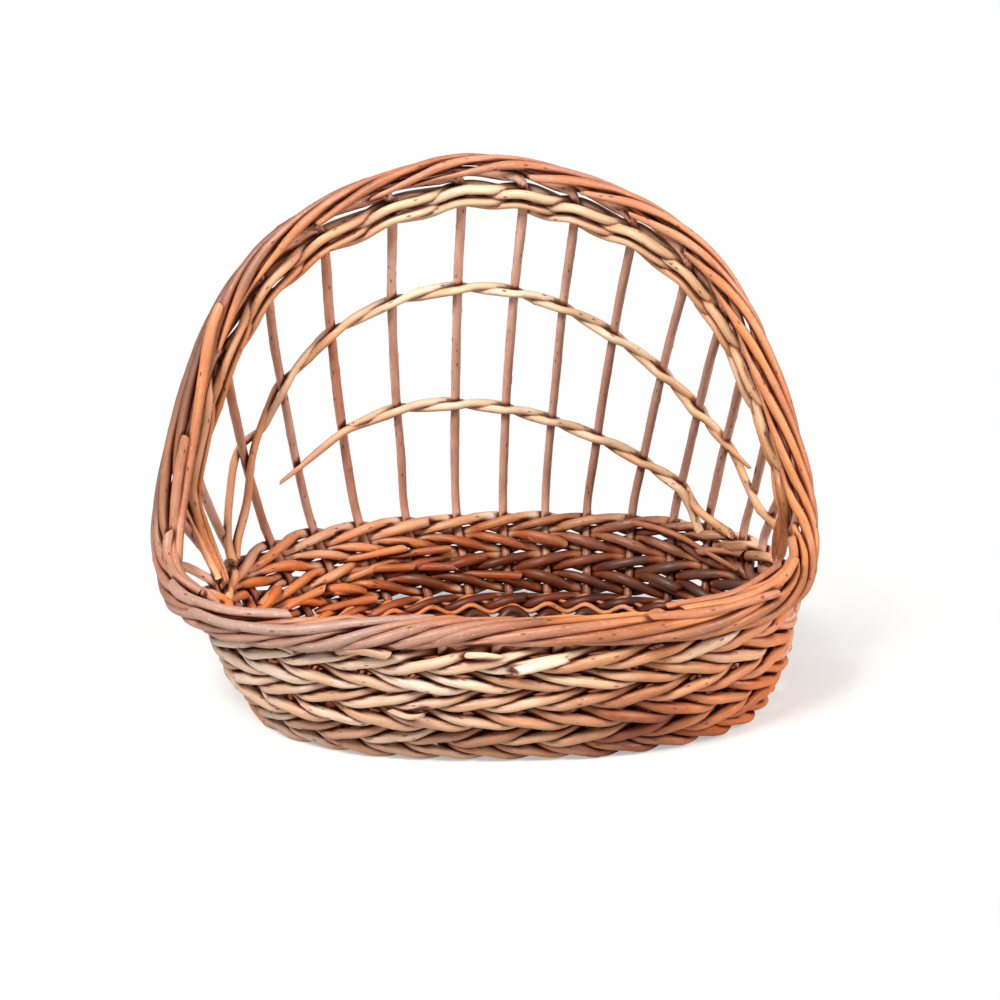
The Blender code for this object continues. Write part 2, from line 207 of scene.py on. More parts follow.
def rim_point(place):
    """Where stakes meet the middle of the border."""
    return read_line(RIM, loop_share(place, RIM_STAKE_SHARES))


def lattice_point(place, share):
    """Points on the open run of the stakes, from the side rows to the rim."""
    low, top = wall_point(place), rim_point(place)
    share = np.asarray(share, float)[..., None]
    apart = np.linalg.norm(top - low, axis=-1, keepdims=True)
    bow = low + HOOD_BOW_SHARE * apart * unit(top - base_point(place))
    return low * (1 - share) ** 2 + 2 * bow * share * (1 - share) + top * share ** 2


def inward(place):
    """The level direction from the foot of a stake to the middle of the base."""
    along = base_point(np.asarray(place) + 0.25) - base_point(np.asarray(place) - 0.25)
    return unit(np.stack([-along[..., 1], along[..., 0], np.zeros_like(along[..., 0])], -1))


def side_point(place, share):
    """The middle of the side's thickness at a share of its height, a little swelled outward."""
    low, top = base_point(place), wall_point(place)
    share = np.asarray(share, float)
    climb = ((top[..., 2] * share - FOOT_HEIGHT) / (top[..., 2] - FOOT_HEIGHT))[..., None]
    swell = SIDE_SWELL * np.interp(share, (0.0, SWELL_SHARE, 1.0), (0.0, 1.0, 0.0))
    return low + (top - low) * climb - inward(place) * np.asarray(swell)[..., None]


def rim_frame(place):
    """At places of the rim: its middle, along it, square down from it, outward, and down the stake."""
    place = np.asarray(place, float)
    centre = rim_point(place)
    along = unit(rim_point(place + 0.25) - rim_point(place - 0.25))
    down_stake = unit(lattice_point(place, np.full(place.shape, 0.75)) - centre)
    down = unit(down_stake - (down_stake * along).sum(-1, keepdims=True) * along)
    return centre, along, down, np.cross(down, along), down_stake


def front_share(place):
    """One at the front centre, none at the back centre."""
    return 0.5 + 0.5 * np.cos(np.asarray(place, float) / STAKES * 2 * math.pi)


# Rods

def drift(seed, places, step):
    """A smooth wandering between -1 and 1 along a rod, the same each time for one seed."""
    rng = np.random.default_rng(seed)
    places = np.asarray(places, float) / step
    knots = rng.uniform(-1.0, 1.0, int(places.max()) + 4)
    k = np.floor(places).astype(int)
    t = places - k
    t = t * t * (3 - 2 * t)
    return knots[k] * (1 - t) + knots[k + 1] * t


def evenly(points, step, *values):
    """A line and the values along it, read again at an even step."""
    travelled = np.concatenate([[0.0], np.cumsum(np.linalg.norm(np.diff(points, axis=0), axis=1))])
    count = max(3, int(round(travelled[-1] / step)))
    at = np.linspace(0.0, travelled[-1], count + 1)
    line = np.stack([np.interp(at, travelled, points[:, k]) for k in range(3)], -1)
    return [at, line] + [np.interp(at, travelled, value) for value in values]


def soften(line, rounds):
    """A line with its small corners eased, as a rod bends, its ends kept."""
    line = line.copy()
    for _ in range(rounds):
        line[1:-1] = (line[:-2] + 2 * line[1:-1] + line[2:]) / 4
    return line


def carried_sides(line):
    """The direction along a line and a pair of directions across it that never spin."""
    tangent = unit(np.gradient(line, axis=0))
    across = np.zeros_like(line)
    start = np.cross(tangent[0], (0.0, 0.0, 1.0))
    if np.linalg.norm(start) < 0.1:
        start = np.cross(tangent[0], (0.0, 1.0, 0.0))
    across[0] = unit(start)
    for i in range(1, len(line)):
        flat = across[i - 1] - (across[i - 1] @ tangent[i]) * tangent[i]
        across[i] = flat / np.linalg.norm(flat)
    return tangent, across, np.cross(tangent, across)


def bud_scars(rng, at, turn):
    """Small swellings along a rod where buds grew: how much it swells and how dark the scar is."""
    swelling = np.ones((len(at), len(turn)))
    scar = np.zeros((len(at), len(turn)))
    spot = rng.uniform(0.2, 1.0) * BUD_GAP
    facing = rng.uniform(0, 2 * math.pi)
    while spot < at[-1] - BUD_END:
        reach = np.exp(-((at - spot) / BUD_REACH) ** 2)[:, None]
        lobe = np.maximum(0.0, np.cos(turn - facing))[None, :] ** 3
        size = rng.uniform(0.25, 1.0)
        swelling *= 1 + 0.15 * size * reach * (0.35 + lobe)
        scar = np.maximum(scar, reach * lobe * size)
        spot += BUD_GAP * rng.uniform(0.45, 1.6)
        facing += rng.uniform(1.6, 3.2)
    return swelling, scar


def rod_skin(rng, at, line, ring, turn, cuts, flat):
    """The skin's points round a rod's line, its ends cut on the slant and a little rounded."""
    tangent, right, up = carried_sides(line)
    across = ring * np.cos(turn)
    rise = ring * np.sin(turn) * flat
    coords = line[:, None, :] + across[..., None] * right[:, None, :] + rise[..., None] * up[:, None, :]
    for end, slope in zip((0, -1), cuts):
        away = np.abs(at - at[end])
        thick = ring[end].mean()
        near = held(1 - away / (2.2 * thick))[:, None]
        slant = near * slope * ring * np.cos(turn - rng.uniform(0, 2 * math.pi))
        coords += slant[..., None] * tangent[:, None, :]
        trim = held(1 - away / (0.35 * thick))[:, None, None]
        coords += (line[:, None, :] - coords) * 0.10 * trim
    grain = np.stack([np.broadcast_to(at[:, None], ring.shape), across, rise], -1) + rng.uniform(0, 3, 3)
    return coords.reshape(-1, 3), grain.reshape(-1, 3)


# a rod's skin on the unit square: its two ends as discs along the foot, and strips of its length above
END_SPOTS = ((0.05, 0.028), (0.11, 0.028))
END_DISC = 0.024
STRIP_FOOT = 0.06
STRIP_HEIGHT = 0.93
STRIP_MARGIN = 0.03


def rod_faces(count, sides, slimness):
    """Faces round a rod and over its ends, with the skin laid out in strips above the two ends."""
    strips = max(1, int(round(math.sqrt(slimness))))
    per_strip = math.ceil((count - 1) / strips)
    wide = (1 - 2 * STRIP_MARGIN) / sides / strips
    faces, uvs = [], []
    for i in range(count - 1):
        strip = i // per_strip
        low, high = (STRIP_FOOT + STRIP_HEIGHT * (i + k - strip * per_strip) / per_strip for k in (0, 1))
        for j in range(sides):
            k = (j + 1) % sides
            left = (strip + STRIP_MARGIN) / strips + wide * j
            faces.append((i * sides + j, i * sides + k, (i + 1) * sides + k, (i + 1) * sides + j))
            uvs += [(left, low), (left + wide, low), (left + wide, high), (left, high)]
    for end, (spot_x, spot_y) in enumerate(END_SPOTS):
        first = count * sides + end * (sides + 1)
        for j in range(sides):
            pair = ((j + 1) % sides, j) if end == 0 else (j, (j + 1) % sides)
            faces.append((first + pair[0], first + pair[1], first + sides))
            for corner in pair:
                turn = corner / sides * 2 * math.pi
                uvs.append((spot_x + END_DISC * math.cos(turn), spot_y + END_DISC * math.sin(turn)))
            uvs.append((spot_x, spot_y))
    return faces, uvs


RODS = []


def rod(name, points, radii, finish, replaced, seed, tone=0.5, blush=0.0, ash=0.0,
        cuts=(0.5, 0.7), sides=SIDES, flat=1.0, ease=2):
    """One willow rod along points: round, with its own lumps, bud scars, shades and cut ends."""
    rng = np.random.default_rng(seed)
    points = np.asarray(points, float)
    values = [np.broadcast_to(value, len(points)) for value in (radii, tone, blush, ash)]
    at, line, radii, tone, blush, ash = evenly(points, RING_STEP, *values)
    line = soften(line, ease)
    turn = np.arange(sides) / sides * 2 * math.pi
    radii = radii * (1 + 0.05 * drift(seed + 1, at, 0.024) + 0.025 * drift(seed + 2, at, 0.006))
    swelling, scar = bud_scars(rng, at, turn)
    ring = radii[:, None] * (1 + 0.05 * np.cos(2 * (turn + rng.uniform(0, math.pi)))) * swelling
    coords, grain = rod_skin(rng, at, line, ring, turn, cuts, flat)
    # what stands on the ground is worn flat by it
    coords[:, 2] = np.maximum(coords[:, 2], 0.0)
    faces, uvs = rod_faces(len(at), sides, at[-1] / (2 * math.pi * radii.mean()))
    tone = tone + 0.09 * drift(seed + 3, at, 0.05)
    blush = blush * (1 + 0.35 * drift(seed + 4, at, 0.04))
    shades = {
        "tone": np.repeat(tone, sides), "blush": np.repeat(blush, sides), "ash": np.repeat(ash, sides),
        "scar": scar.ravel(), "cut": np.zeros(len(coords)), "pith": np.zeros(len(coords)),
    }
    RODS.append((name, finish, replaced, line, coords, grain, faces, uvs, shades, sides))


def crevices(line, coords, sides, tree):
    """How near each point of a rod's skin is to other rods, which sets the painted shade of the crevices
    between them.
    """
    middles = np.repeat(line, sides, axis=0)
    looked_at = middles + unit(coords - middles) * CREVICE_LOOK
    near = [tree.find_range(tuple(point), CREVICE_REACH) for point in looked_at]
    closest = np.array([min((found[2] for found in around), default=CREVICE_REACH) for around in near])
    return held((CREVICE_REACH - closest) / CREVICE_FADE)


def make_rod(name, finish, replaced, line, coords, grain, faces, uvs, shades, sides, tree):
    """The mesh of one gathered rod with its shades, laid into the scene in place of its node."""
    shades = dict(shades, crevice_shade=crevices(line, coords, sides, tree))
    ends = {"cut": 1.0, "scar": 0.0}
    for first in (0, len(coords) - sides):
        own = np.arange(first, first + sides)
        coords = np.vstack([coords, coords[own], coords[own].mean(0)])
        grain = np.vstack([grain, grain[own], grain[own].mean(0)])
        for key, values in shades.items():
            edge = np.full(sides, ends[key]) if key in ends else values[own]
            middle = 1.0 if key == "pith" else edge[0]
            shades[key] = np.concatenate([values, edge, [middle]])
    mesh = bpy.data.meshes.new(name)
    mesh.from_pydata(list(map(tuple, coords)), [], faces)
    mesh.uv_layers.new(name="OFBake").data.foreach_set("uv", np.array(uvs, np.float32).ravel())
    mesh.polygons.foreach_set("use_smooth", [len(face) == 4 for face in faces])
    for key, values in shades.items():
        mesh.attributes.new(key, "FLOAT", "POINT").data.foreach_set("value", values.astype(np.float32))
    spots = mesh.attributes.new("grain", "FLOAT_VECTOR", "POINT").data
    spots.foreach_set("vector", grain.astype(np.float32).ravel())
    mesh.materials.append(FINISHES[finish])
    mesh.update()
    item = bpy.data.objects.new(name, mesh)
    bpy.context.scene.collection.objects.link(item)
    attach(item, "root")
    if replaced:
        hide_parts(replaced)


# Willow finishes

def paint(code):
    """A colour written as sRGB hex, as the linear values that Blender wants."""
    parts = [int(code[k:k + 2], 16) / 255 for k in (1, 3, 5)]
    return tuple(p / 12.92 if p <= 0.04045 else ((p + 0.055) / 1.055) ** 2.4 for p in parts) + (1.0,)


def node(tree, kind, settings=(), stops=(), **inputs):
    """Add one node: its settings, a ramp's colour stops, and its inputs by name, or by i and their number."""
    made = tree.nodes.new(kind)
    for key, value in dict(settings).items():
        setattr(made, key, value)
    for number, (place, code) in enumerate(stops):
        band = made.color_ramp.elements
        element = band[number] if number < len(band) else band.new(place)
        element.position = place
        element.color = paint(code)
    for key, value in inputs.items():
        socket = made.inputs[int(key[1:]) if key[1:].isdigit() else key]
        # a node stands for its first output, and hex for a colour
        if isinstance(value, bpy.types.Node):
            value = value.outputs[0]
        if isinstance(value, bpy.types.NodeSocket):
            tree.links.new(value, socket)
        else:
            socket.default_value = paint(value) if isinstance(value, str) else value
    return made


FINISHES = {}
ATTRIBUTES = ("grain", "tone", "blush", "ash", "scar", "crevice_shade", "cut", "pith")

# patterns in the bark: name, kind, how often a metre along the rod and round it, detail and roughness
PATTERNS = (
    # the bark's shade wanders over a few centimetres of the rod
    ("slow", "ShaderNodeTexNoise", 38.0, 120.0, {"Detail": 3.0, "Roughness": 0.55}),
    # bark fibres run along the rod, about 0.6 mm apart
    ("fibre", "ShaderNodeTexNoise", 55.0, 1500.0, {"Detail": 3.0, "Roughness": 0.6}),
    # weathered blotches about 8 mm long
    ("blotch", "ShaderNodeTexNoise", 120.0, 420.0, {"Detail": 4.0, "Roughness": 0.65}),
    # flecks of skin about 2 mm long that catch the light
    ("skin", "ShaderNodeTexNoise", 420.0, 1100.0, {"Detail": 2.0, "Roughness": 0.6}),
    # dark pores, about 10 mm apart along the rod
    ("flecks", "ShaderNodeTexVoronoi", 95.0, 260.0, {}),
)
# a cut end from its edge to its middle: brown rim, pale wood and dark pith
WOOD_STOPS = ((0.0, "#B98A62"), (0.55, "#D9B78D"), (0.82, "#8A5A3C"), (1.0, "#4E2C1E"))


def willow(name, barks, blush_colour, ash_colour, roughness, patch, flaked, crevice_darkness):
    """Willow bark or peeled willow. Long grain, blotches, dark flecks and bud scars break up its colour."""
    material = bpy.data.materials.new(name + "_rods")
    material.use_nodes = True
    tree = material.node_tree
    shader = tree.nodes["Principled BSDF"]
    own = {}
    for key in ATTRIBUTES:
        socket = "Vector" if key == "grain" else "Fac"
        own[key] = node(tree, "ShaderNodeAttribute", {"attribute_name": key}).outputs[socket]
    for key, kind, along, around, fineness in PATTERNS:
        spread = node(tree, "ShaderNodeVectorMath", {"operation": "MULTIPLY"},
                      i0=own["grain"], i1=(along, around, around))
        own[key] = node(tree, kind, Vector=spread, Scale=1.0, **fineness)
    shade = node(tree, "ShaderNodeMath", {"operation": "MULTIPLY_ADD"}, i0=own["slow"], i1=0.62, i2=-0.31)
    shade = node(tree, "ShaderNodeMath", {"operation": "ADD", "use_clamp": True}, i0=shade, i1=own["tone"])
    colour = node(tree, "ShaderNodeValToRGB", stops=barks, i0=shade)
    wood = node(tree, "ShaderNodeValToRGB", stops=WOOD_STOPS, i0=own["pith"])
    # dark bark has fainter blotches and flakes
    blotch_share, skin_share = (
        node(tree, "ShaderNodeMapRange", i0=own["tone"], i1=0.45, i2=0.90, i3=most, i4=0.1 * most)
        for most in (patch, flaked + 0.15))
    # each layer: where it shows, from and to, its most, and its colour
    layers = (
        (own["ash"], 0.0, 1.0, 1.0, ash_colour),
        (own["blush"], 0.0, 1.0, 1.0, blush_colour),
        (own["blotch"], 0.52, 0.74, blotch_share, ash_colour),
        (own["skin"], 0.72 - 0.4 * flaked, 0.84 - 0.3 * flaked, skin_share, barks[0][1]),
        (own["flecks"], 0.17, 0.10, 0.75, "#4A2A1C"),
        (own["scar"], 0.45, 0.95, 0.75, "#432318"),
        (own["cut"], 0.0, 1.0, 1.0, wood),
        # painted shade in the crevices between rods, red brown and then near black where they are deepest
        (own["crevice_shade"], 0.05, 0.6, 0.45 + 0.4 * crevice_darkness, "#7A2E10"),
        (own["crevice_shade"], 0.40, 1.0, crevice_darkness, "#2C0802"),
    )
    for where, low, high, most, over in layers:
        share = node(tree, "ShaderNodeMapRange", i0=where, i1=low, i2=high, i3=0.0, i4=most)
        mixed = node(tree, "ShaderNodeMix", {"data_type": "RGBA"}, i0=share, i6=colour, i7=over)
        colour = mixed.outputs[2]
    lines = node(tree, "ShaderNodeMapRange", i0=own["fibre"], i1=0.25, i2=0.75, i3=0.78, i4=1.12)
    grained = node(tree, "ShaderNodeVectorMath", {"operation": "MULTIPLY"}, i0=colour, i1=lines)
    worn = node(tree, "ShaderNodeMapRange",
                i0=own["blotch"], i1=0.3, i2=0.7, i3=roughness - 0.08, i4=roughness + 0.12)
    height = node(tree, "ShaderNodeMath", {"operation": "MULTIPLY_ADD"},
                  i0=own["fibre"], i1=0.35, i2=own["blotch"])
    bump = node(tree, "ShaderNodeBump", Strength=0.55, Distance=0.00035, Height=height)
    for key, made in (("Base Color", grained), ("Roughness", worn), ("Normal", bump)):
        tree.links.new(made.outputs[0], shader.inputs[key])
    shader.inputs["IOR"].default_value = 1.45
    FINISHES[name] = material


# brown willow, boiled with its bark on: pink brown, with a dull waxy shine
willow(
    "stake_willow",
    ((0.0, "#F4C8B2"), (0.25, "#D6947A"), (0.5, "#B06A4A"), (0.75, "#74381E"), (1.0, "#2E0D04")),
    blush_colour="#F09858", ash_colour="#A88E82", roughness=0.44, patch=0.50, flaked=0.35, crevice_darkness=0.92)
# white willow, peeled: straw to cream, smoother than bark
willow(
    "pale_willow",
    ((0.0, "#F8E6CA"), (0.3, "#ECCAA4"), (0.6, "#D29E70"), (0.85, "#9E643C"), (1.0, "#54260F")),
    blush_colour="#F08E4E", ash_colour="#C8947A", roughness=0.42, patch=0.40, flaked=0.25, crevice_darkness=0.55)
# side rods, some peeled and some brown, rubbed by use
willow(
    "side_willow",
    ((0.0, "#FBECD6"), (0.25, "#E2BC96"), (0.5, "#B87E54"), (0.75, "#782E14"), (1.0, "#300A04")),
    blush_colour="#E87E3C", ash_colour="#AE8C7A", roughness=0.44, patch=0.42, flaked=0.22, crevice_darkness=0.92)
# base rods, in a darker palette than the side rods
willow(
    "base_willow",
    ((0.0, "#D8AE80"), (0.3, "#B9805A"), (0.6, "#84492C"), (0.85, "#4E2213"), (1.0, "#240C05")),
    blush_colour="#B8501F", ash_colour="#6E4A3A", roughness=0.55, patch=0.45, flaked=0.2, crevice_darkness=0.92)

# the most that a rod is reddened and greyed, and the height over which painted shade darkens the tub's inside
# downwards
MOST_WARMTH = 0.85
MOST_GREY = 0.8
TUB_SHADE_HEIGHT = 0.062


# Stakes and border

def turned(laid):
    """How far a stake has wound round the border when it has run some places along it, in radians."""
    return np.radians(np.interp(laid, BORDER_TURN_PLACES, BORDER_TURN_DEGREES))


def border_point(place, turn, grown=0.0):
    """Points on the border's rope, at turns from its underside by way of its outside."""
    centre, _, down, out, _ = rim_frame(place)
    turn = np.asarray(turn, float)[..., None]
    grown = np.asarray(grown, float)[..., None]
    return centre + (ROPE_ALONG + grown) * np.cos(turn) * down + (ROPE_ACROSS + grown) * np.sin(turn) * out


def stake_spine(stake):
    """A stake from its end inside the base, up the side and the hood, to its bend into the border."""
    place = np.float64(stake)
    foot = side_point(place, FOOT_HEIGHT / wall_point(place)[2])
    buried = [base_point(place) + inward(place) * reach for reach in (STAKE_FOOT, STAKE_FOOT / 2)]
    centre, _, down, _, down_stake = rim_frame(place)
    bend = centre + down_stake * (ROPE_ALONG + BEND_DROP) / (down_stake @ down)
    open_run = [lattice_point(place, share) for share in (0.0, 0.25, 0.5, 0.75)]
    # no point crowds the bend
    kept = [point for point in open_run if np.linalg.norm(point - bend) > 6 * STAKE_RADIUS]
    return np.array(buried + [foot, side_point(place, SWELL_SHARE)] + kept + [bend])


def stake_at(stake, share):
    """Where a stake passes a share of the side's height."""
    spine = stake_spine(stake)[2:]
    height = share * wall_point(stake)[2]
    return np.array([np.interp(height, spine[:, 2], spine[:, k]) for k in range(3)])


def wander(line, seed, most, step):
    """A line let stray a little, as a rod never grows quite straight, its ends kept."""
    at = np.concatenate([[0.0], np.cumsum(np.linalg.norm(np.diff(line, axis=0), axis=1))])
    ends = held(np.minimum(at, at[-1] - at) / 0.02)
    stray = np.stack([drift(seed + k, at, step) for k in (11, 12, 13)], -1)
    return line + most * stray * ends[:, None]


# how many places a stake runs along the border, and after how many its end is tucked in
TAIL_PLACES = 5.4
TUCK_START = 4.3
# how far left or right of the middle a side has its full colour, and the height of the low rim, from
# where the hood's colours take over up to twice as high
SIDE_REACH = 0.15
LOW_HEIGHT = 0.07


def stake_line(stake, rng):
    """A stake's whole line, and how many places along the border it has run at each of its points."""
    spine = stake_spine(stake)
    places = np.arange(stake + 0.3, stake + TAIL_PLACES + rng.uniform(-0.5, 0.5), 0.2)
    laid = places - stake
    swing = turned(laid) + 0.16 * drift(300 + stake, laid, 1.4) * held(laid - 0.5)
    grown = 0.0006 * drift(340 + stake, laid, 1.1) - 0.0046 * held(laid - TUCK_START)
    # the strands on top lie flatter along the front
    flat_top = 0.0008 - 0.0026 * held(-np.cos(swing))
    grown = grown + flat_top * front_share(places) * held(laid)
    points = np.vstack([spine, border_point(places, swing, grown)])
    laid = np.concatenate([np.arange(len(spine)) - len(spine) + 0.3, laid])
    line = curve_through(points, 4)
    laid = np.interp(np.arange(len(line)) / 4, range(len(points)), laid)
    return wander(line, 380 + stake, 0.0006, 0.05), laid


def stake_looks(line, laid, stake, rng):
    """The radius, shade, warmth and greyness of a stake at its places on the basket."""
    front = front_share(stake + 2.5)
    left = held(-line[:, 0] / SIDE_REACH)
    right = held(line[:, 0] / SIDE_REACH)
    low = held(2.0 - line[:, 2] / LOW_HEIGHT)
    hood_left, hood_right = (held(side * 1.5 - 0.4) * (1 - low) for side in (left, right))
    grey_side = held(0.30 - line[:, 0] / 0.11)
    # painted shade: inside the tub at the back, stakes darker towards the bottom, and not greyed there
    inside = held(1.15 - line[:, 2] / TUB_SHADE_HEIGHT) * held(line[:, 1] / 0.05)
    # on the border, on its top, and where it faces into the basket
    run = held(laid)
    top = held((turned(laid) - math.radians(125)) / 0.9) * run
    facing = held((turned(laid) - math.radians(195)) / 0.8) * run
    radii = (STAKE_RADIUS + run * (0.00035 * front + 0.0004 * left)) * rng.uniform(0.93, 1.07)
    radii = radii * (1.04 - 0.025 * np.clip(laid, 0, 6) - 0.42 * held(laid - TUCK_START))
    # painted light and shade: the hood's left is darker outside and lighter and warm towards the opening, its
    # right warm outside and darker and grey towards the opening
    tone = 0.10 + 0.10 * right * (1 - run) + rng.uniform(-0.08, 0.10) + run * (0.30 + 0.10 * front)
    tone = tone + 0.7 * inside + run * (0.40 * hood_left * (1 - facing) - 0.10 * hood_left * facing)
    tone = tone + run * (0.12 * hood_right * facing + (0.78 * front - 0.24) * right * low)
    # painted light: the border's top strands warmer and less grey, as if lit from above
    lit_top_warmth = (0.10 + 0.35 * right * low + 0.42 * front) * (1 - 0.8 * grey_side * front)
    warm = rng.uniform(0.0, 0.16) + run * top * lit_top_warmth
    warm = warm + run * (0.80 * right * low * (1 - 0.6 * front) + 0.28 * hood_right * (1 - facing))
    warm = warm + 0.60 * hood_left * facing * rng.uniform(0.5, 1)
    grey = run * (0.10 + 0.75 * front * grey_side + rng.uniform(-0.10, 0.30))
    grey = grey * (1 - 0.8 * top * (1 - grey_side)) + (1 - run) * (0.10 + 0.45 * held(right * 2))
    grey = grey + 0.45 * hood_right * facing * rng.uniform(0.4, 1)
    return radii, tone, np.clip(warm, 0, MOST_WARMTH), np.clip(grey * (1 - inside), 0, MOST_GREY)


for k in range(STAKES):
    rng = np.random.default_rng(4000 + k)
    line, laid = stake_line(k, rng)
    radii, *shades = stake_looks(line, laid, k, rng)
    rod(f"stake_{k + 1:02d}_willow", line, radii, "stake_willow", f"stake_{k + 1:02d}", 100 + k,
        *shades, cuts=(0.2, 1.0), ease=3)


# Side rows

# one wale rod at every half gap: how far out and how far up it lies, and what is added
# where the rod is pulled tight and its inner float runs long and level
WALE_ACROSS = (-1.0, 0.0, 1.0, 1.07, 1.0, 0.0)
WALE_RISE = (0.0, 1.08, 0.92, 0.0, -0.92, -1.08)
TIGHT_ACROSS = (0.0, -0.65, -0.05, 0.0, -0.05, -0.10)
TIGHT_RISE = (0.0, -0.30, 0.08, 0.0, -0.08, 0.30)
FIRST_ROW_LIFT = (2.4, 0.35, 0.92, 0.0, -0.92, 0.35)
RING_STEPS = 16
WALE_SLACK = 0.0006
SIDE_ROD_RADIUS = 0.00275


def cycle(values, phase):
    """A smooth repeating wave through values spaced half a stake apart."""
    values = np.array(values)
    spot = np.asarray(phase, float) * 2
    k = np.floor(spot).astype(int)
    return bend_through(*(values[(k + n) % len(values)] for n in (-1, 0, 1, 2)), spot - k)


def read_ring(ring, places):
    """Points of a line round the side at places counted in stakes."""
    at = np.asarray(places) % STAKES * RING_STEPS
    whole = np.floor(at).astype(int)
    t = (at - whole)[..., None]
    return ring[whole % len(ring)] * (1 - t) + ring[(whole + 1) % len(ring)] * t


RINGS = []
for share in SIDE_ROW_SHARES:
    lines = [[stake_at(k, share + lift) for k in range(STAKES)] for lift in (-0.05, 0.0, 0.05)]
    RINGS.append([curve_through(line, RING_STEPS, closed=True) for line in lines])


def side_frame(row, places):
    """At places of a side row: its middle, outward, and up the side."""
    below, middle, above = (read_ring(ring, places) for ring in RINGS[row])
    along = unit(read_ring(RINGS[row][1], places + 0.1) - read_ring(RINGS[row][1], places - 0.1))
    out = unit(np.cross(along, unit(above - below)))
    return middle, out, np.cross(out, along)


def side_weaver(row, places, radius, out_extra, rise_extra):
    """A rod of a three-rod wale: outside two stakes, inside the next, to one hand or the other."""
    middle, out, up = side_frame(row, places)
    phase = (places + row) % 3
    tight = 1 - front_share(places)
    across = cycle(WALE_ACROSS, phase) + tight * cycle(TIGHT_ACROSS, phase)
    rise = (cycle(WALE_RISE, phase) + tight * cycle(TIGHT_RISE, phase)) * (-1) ** row
    reach = across * (STAKE_RADIUS + radius + WALE_SLACK)
    if row == 0:
        level = -inward(places)
        reach = reach / (out * level).sum(-1)
        out, up = level, up / up[:, 2:]
        rise = np.where(across < 0, cycle(FIRST_ROW_LIFT, phase), rise)
    spread = 1.08 + 0.30 * tight
    reach, rise = reach + out_extra, rise * radius * spread + rise_extra
    return middle + out * reach[:, None] + up * rise[:, None], across


def side_shades(line, row, across, rng):
    """The shade, warmth and greyness of a side rod at its places on the basket."""
    up = row / (len(SIDE_ROW_SHARES) - 1)
    left = np.clip(-line[:, 0] / 0.16, -1, 1)
    lit_far_left = held(left * 2.2 - 0.55)
    right = held(-left * 2)
    right_end = held(-left * 2.4 - 1.3)
    rear = held((line[:, 1] + 0.06) / 0.05)
    # painted shade: inside the tub, rods darker towards the bottom, with less warmth and grey, least on the
    # far left
    depth = held(1.2 - line[:, 2] / TUB_SHADE_HEIGHT)
    # outside, painted light and shade: upper rows lighter, most on the left, and lower rows darker towards
    # the right
    outer_tone = 0.40 - 0.08 * held(left) - 0.28 * up * np.clip(left + 0.6, 0, 1.5)
    outer_tone = outer_tone + rng.uniform(-0.20, 0.18) + 0.26 * (1 - up) * held(0.4 - left)
    outer_tone = outer_tone - 0.40 * right_end * up
    outer_tone = outer_tone + 0.28 * np.clip(-1.6 * left - 0.2, 0, 0.7) * (1 - right_end)
    # inside the tub, painted light and shade: the far left wall lighter and more orange, the right darker and
    # less warm, and greyer
    inner_tone = 0.32 + 0.10 * right - 0.25 * lit_far_left + rng.uniform(-0.14, 0.10)
    inner_tone = inner_tone + 1.35 * depth * (1 - 0.6 * lit_far_left)
    outer_warm = 0.04 + (0.74 - 0.22 * up) * right_end + rng.uniform(0.0, 0.12)
    outer_warm = outer_warm + 0.4 * rear * held(left * 2)
    inner_warm = 0.44 + 0.40 * lit_far_left + rng.uniform(-0.20, 0.1) - 0.34 * right
    inner_warm = inner_warm * (1 - 0.95 * depth * (1 - lit_far_left))
    outer_grey = (1 - rear) * (1 - right_end) * (0.72 - 0.45 * up) * held(left + 0.65)
    outer_grey = outer_grey * rng.uniform(0.4, 1.1)
    inner_grey = 0.35 * right * (1 - depth)
    looks = ((outer_tone, inner_tone), (outer_warm, inner_warm), (outer_grey, inner_grey))
    inner = held(0.45 - across * 1.1)
    tone, warm, grey = (outside + (inside - outside) * inner for outside, inside in looks)
    return np.clip(tone, 0.05, 0.97), np.clip(warm, 0, MOST_WARMTH), np.clip(grey, 0, MOST_GREY)


# where each row's four rods join on, in places along the three rounds that they make together
ROW_JOINS = (
    (0, 24, 48, 75), (9, 33, 60, 81), (3, 27, 54, 78), (12, 36, 57, 84), (6, 30, 51, 72), (15, 39, 63, 87),
)
for row, joins in enumerate(ROW_JOINS):
    starts = [place - row for place in joins]
    lean = (-1) ** row
    for number, (start, end) in enumerate(zip(starts, starts[1:] + [starts[0] + 3 * STAKES]), 1):
        seed = 1000 + 50 * row + number
        rng = np.random.default_rng(seed)
        places = np.arange(start - 0.42, end + 0.36, 1 / 12)
        run = (places - start) / (end - start)
        radius = (SIDE_ROD_RADIUS + 0.00034 - 0.00014 * front_share(places)) * (1.12 - 0.20 * run)
        # a rod starts tucked in deep, and ends a little inward
        begin = held(1 - (places - start + 0.42) / 1.1)
        ending = held((places - end + 0.5) / 0.86)
        out_extra = 0.0004 * drift(seed, places - start + 1, 1.3) - 0.0030 * begin - 0.0012 * ending
        rise_extra = 0.0004 * drift(seed + 7, places - start + 1, 1.7)
        rise_extra = rise_extra + lean * (0.0018 * begin - 0.0012 * ending)
        line, across = side_weaver(row, places, radius, out_extra, rise_extra)
        rod(f"side_row_{row + 1}_weaver_{number}", line, radius, "side_willow", f"side_row_{row + 1}",
            seed, *side_shades(line, row, across, rng), cuts=(0.9, 0.9))


# Woven base

STICK_LEVEL = 0.0058
STICK_HALF_HEIGHT = 0.0027
BASE_ROD_RADIUS = 0.00175
BASE_PITCH = 0.0050
EDGE_INSET = 0.0075
EYE_RADIUS = 0.002
LEAST_BEAT = 0.0065


def stick_middle(name):
    """The middle of a base stick."""
    return (np.array(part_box(name)[0]) + np.array(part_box(name)[1])) / 2


